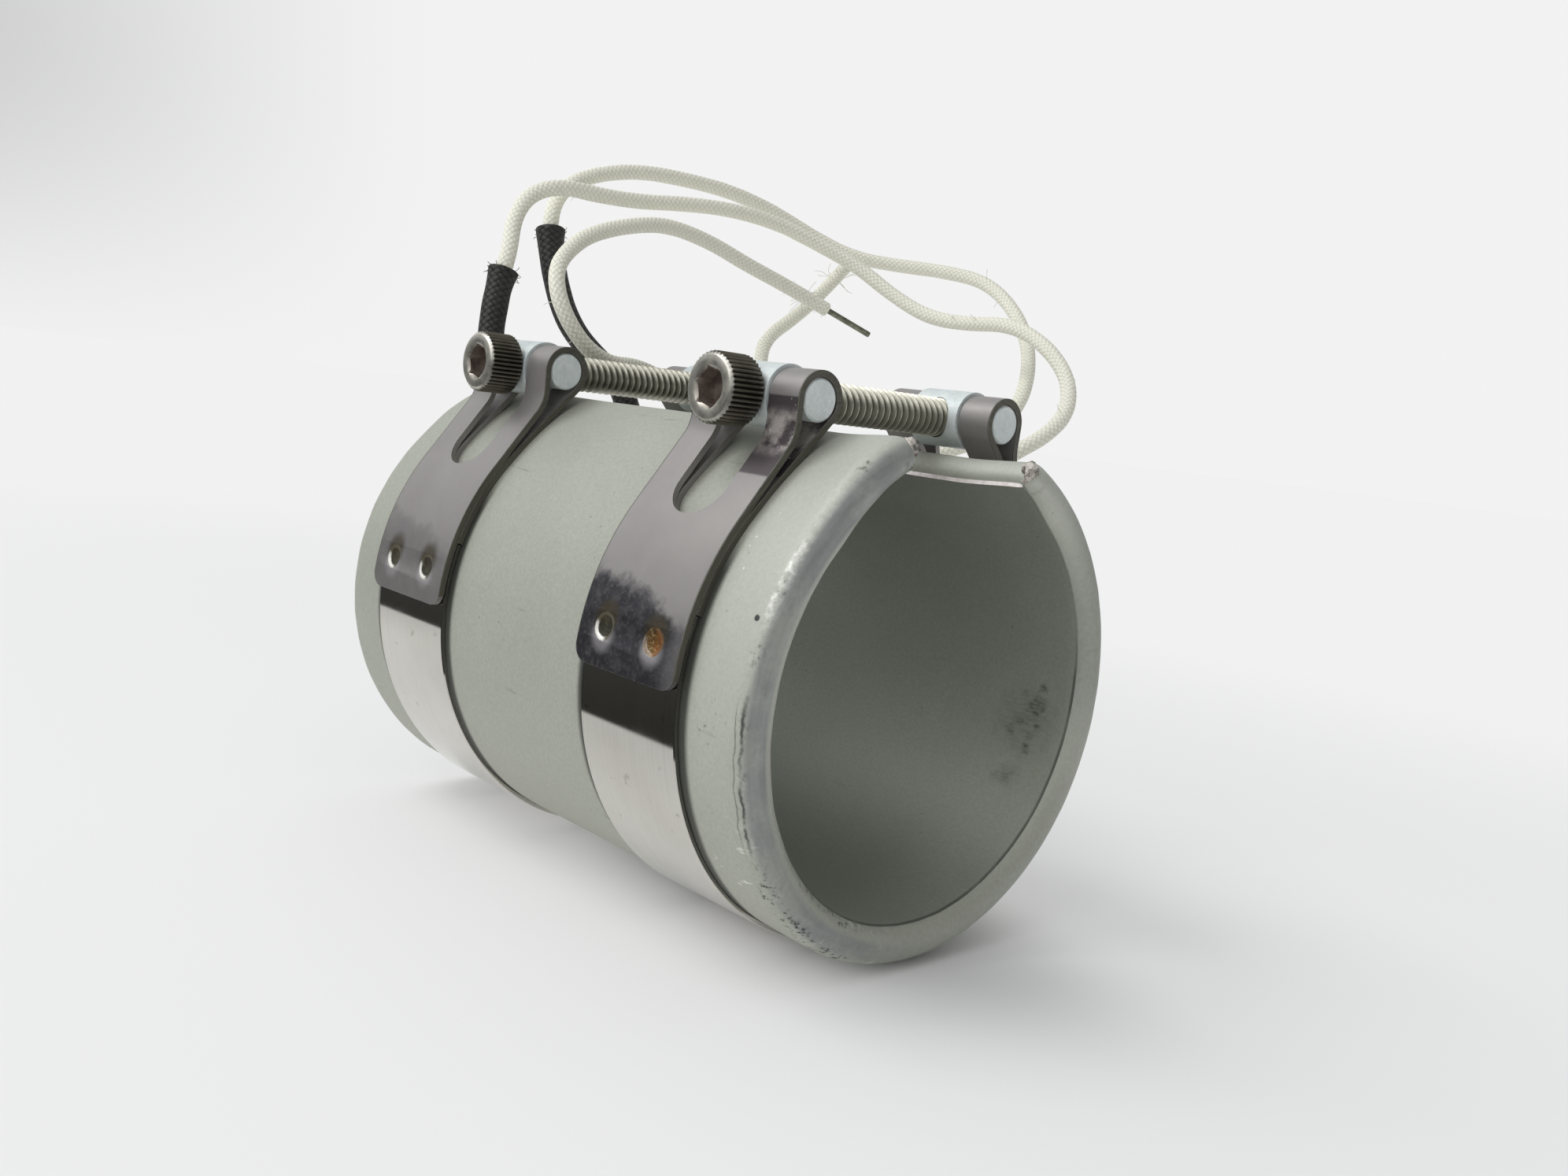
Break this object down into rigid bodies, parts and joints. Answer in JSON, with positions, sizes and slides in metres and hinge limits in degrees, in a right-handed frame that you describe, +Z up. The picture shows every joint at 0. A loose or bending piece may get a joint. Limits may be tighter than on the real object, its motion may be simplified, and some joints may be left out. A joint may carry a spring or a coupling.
{
  "type": "band heater",
  "caption": "Split sleeve band heater that clamps round a barrel, with looped straps, trunnions, socket screws and braided leads.",
  "frame": {"origin": "centre of the bore, on the barrel's axis at mid length", "axes": "+Y along the barrel towards the end where the leads leave; +Z up through the gap, square to the screws; -X towards the screw heads"},
  "size_m": [0.1083, 0.097, 0.099],
  "materials": {
    "sheath_steel": "satin, scuffed",
    "liner_steel": "dull, darkened",
    "mica": "mica board",
    "resistance_alloy": "oxidised",
    "ceramic_fibre": "felt",
    "band_steel": "bright",
    "strap_steel": "heat tinted",
    "zinc_plate": "zinc plated",
    "screw_steel": "blackened, worn",
    "black_braid": "braided",
    "white_braid": "braided glass yarn",
    "bare_wire": "dull"
  },
  "bodies": {
    "root": {"outer_sheath": "sheath_steel", "inner_liner": "liner_steel", "inner_mica": "mica", "element_former": "mica", "resistance_ribbon": "resistance_alloy", "outer_mica": "mica", "backing_blanket": "ceramic_fibre", "left_terminal": "resistance_alloy", "right_terminal": "resistance_alloy", "front_band": "band_steel", "rear_band": "band_steel", "left_sleeve": "black_braid", "right_sleeve": "black_braid", "left_lead": "white_braid", "right_lead": "white_braid", "left_conductor": "bare_wire", "right_conductor": "bare_wire"},
    "front_head_strap": {"front_head_strap": "strap_steel"},
    "front_far_strap": {"front_far_strap": "strap_steel"},
    "front_head_trunnion": {"front_head_trunnion": "zinc_plate"},
    "front_far_trunnion": {"front_far_trunnion": "zinc_plate"},
    "front_screw": {"front_screw": "screw_steel"},
    "rear_head_strap": {"rear_head_strap": "strap_steel"},
    "rear_far_strap": {"rear_far_strap": "strap_steel"},
    "rear_head_trunnion": {"rear_head_trunnion": "zinc_plate"},
    "rear_far_trunnion": {"rear_far_trunnion": "zinc_plate"},
    "rear_screw": {"rear_screw": "screw_steel"}
  },
  "joints": [
    {"name": "front_head_strap_bend", "type": "hinge", "parent": "root", "child": "front_head_strap", "pos_m": [-0.0179, -0.024, -0.0246], "axis": [0, -1, 0], "range_deg": [0, 2.14]},
    {"name": "front_head_trunnion_swivel", "type": "hinge", "parent": "front_head_strap", "child": "front_head_trunnion", "pos_m": [-0.01585, -0.024, 0.03214], "axis": [0, 1, 0], "range_deg": [0, 2.14]},
    {"name": "front_far_strap_bend", "type": "hinge", "parent": "root", "child": "front_far_strap", "pos_m": [0.0179, -0.024, -0.0246], "axis": [0, 1, 0], "range_deg": [0, 2.14]},
    {"name": "front_far_trunnion_swivel", "type": "hinge", "parent": "front_far_strap", "child": "front_far_trunnion", "pos_m": [0.01585, -0.024, 0.03214], "axis": [0, -1, 0], "range_deg": [0, 2.14]},
    {"name": "front_screw_turn", "type": "hinge", "parent": "front_head_trunnion", "child": "front_screw", "pos_m": [-0.01949, -0.024, 0.03214], "axis": [-1, 0, 0], "range_deg": [0, 1440]},
    {"name": "rear_head_strap_bend", "type": "hinge", "parent": "root", "child": "rear_head_strap", "pos_m": [-0.0179, 0.024, -0.0246], "axis": [0, -1, 0], "range_deg": [0, 2.14]},
    {"name": "rear_head_trunnion_swivel", "type": "hinge", "parent": "rear_head_strap", "child": "rear_head_trunnion", "pos_m": [-0.01585, 0.024, 0.03214], "axis": [0, 1, 0], "range_deg": [0, 2.14]},
    {"name": "rear_far_strap_bend", "type": "hinge", "parent": "root", "child": "rear_far_strap", "pos_m": [0.0179, 0.024, -0.0246], "axis": [0, 1, 0], "range_deg": [0, 2.14]},
    {"name": "rear_far_trunnion_swivel", "type": "hinge", "parent": "rear_far_strap", "child": "rear_far_trunnion", "pos_m": [0.01585, 0.024, 0.03214], "axis": [0, -1, 0], "range_deg": [0, 2.14]},
    {"name": "rear_screw_turn", "type": "hinge", "parent": "rear_head_trunnion", "child": "rear_screw", "pos_m": [-0.01949, 0.024, 0.03214], "axis": [-1, 0, 0], "range_deg": [0, 1440]}
  ],
  "couplings": [
    {"joint": "front_head_strap_bend", "follows": "front_screw_turn", "ratio": 0.0014832},
    {"joint": "front_far_strap_bend", "follows": "front_screw_turn", "ratio": 0.0014832},
    {"joint": "front_head_trunnion_swivel", "follows": "front_screw_turn", "ratio": 0.0014832},
    {"joint": "front_far_trunnion_swivel", "follows": "front_screw_turn", "ratio": 0.0014832},
    {"joint": "rear_head_strap_bend", "follows": "rear_screw_turn", "ratio": 0.0014832},
    {"joint": "rear_far_strap_bend", "follows": "rear_screw_turn", "ratio": 0.0014832},
    {"joint": "rear_head_trunnion_swivel", "follows": "rear_screw_turn", "ratio": 0.0014832},
    {"joint": "rear_far_trunnion_swivel", "follows": "rear_screw_turn", "ratio": 0.0014832}
  ]
}
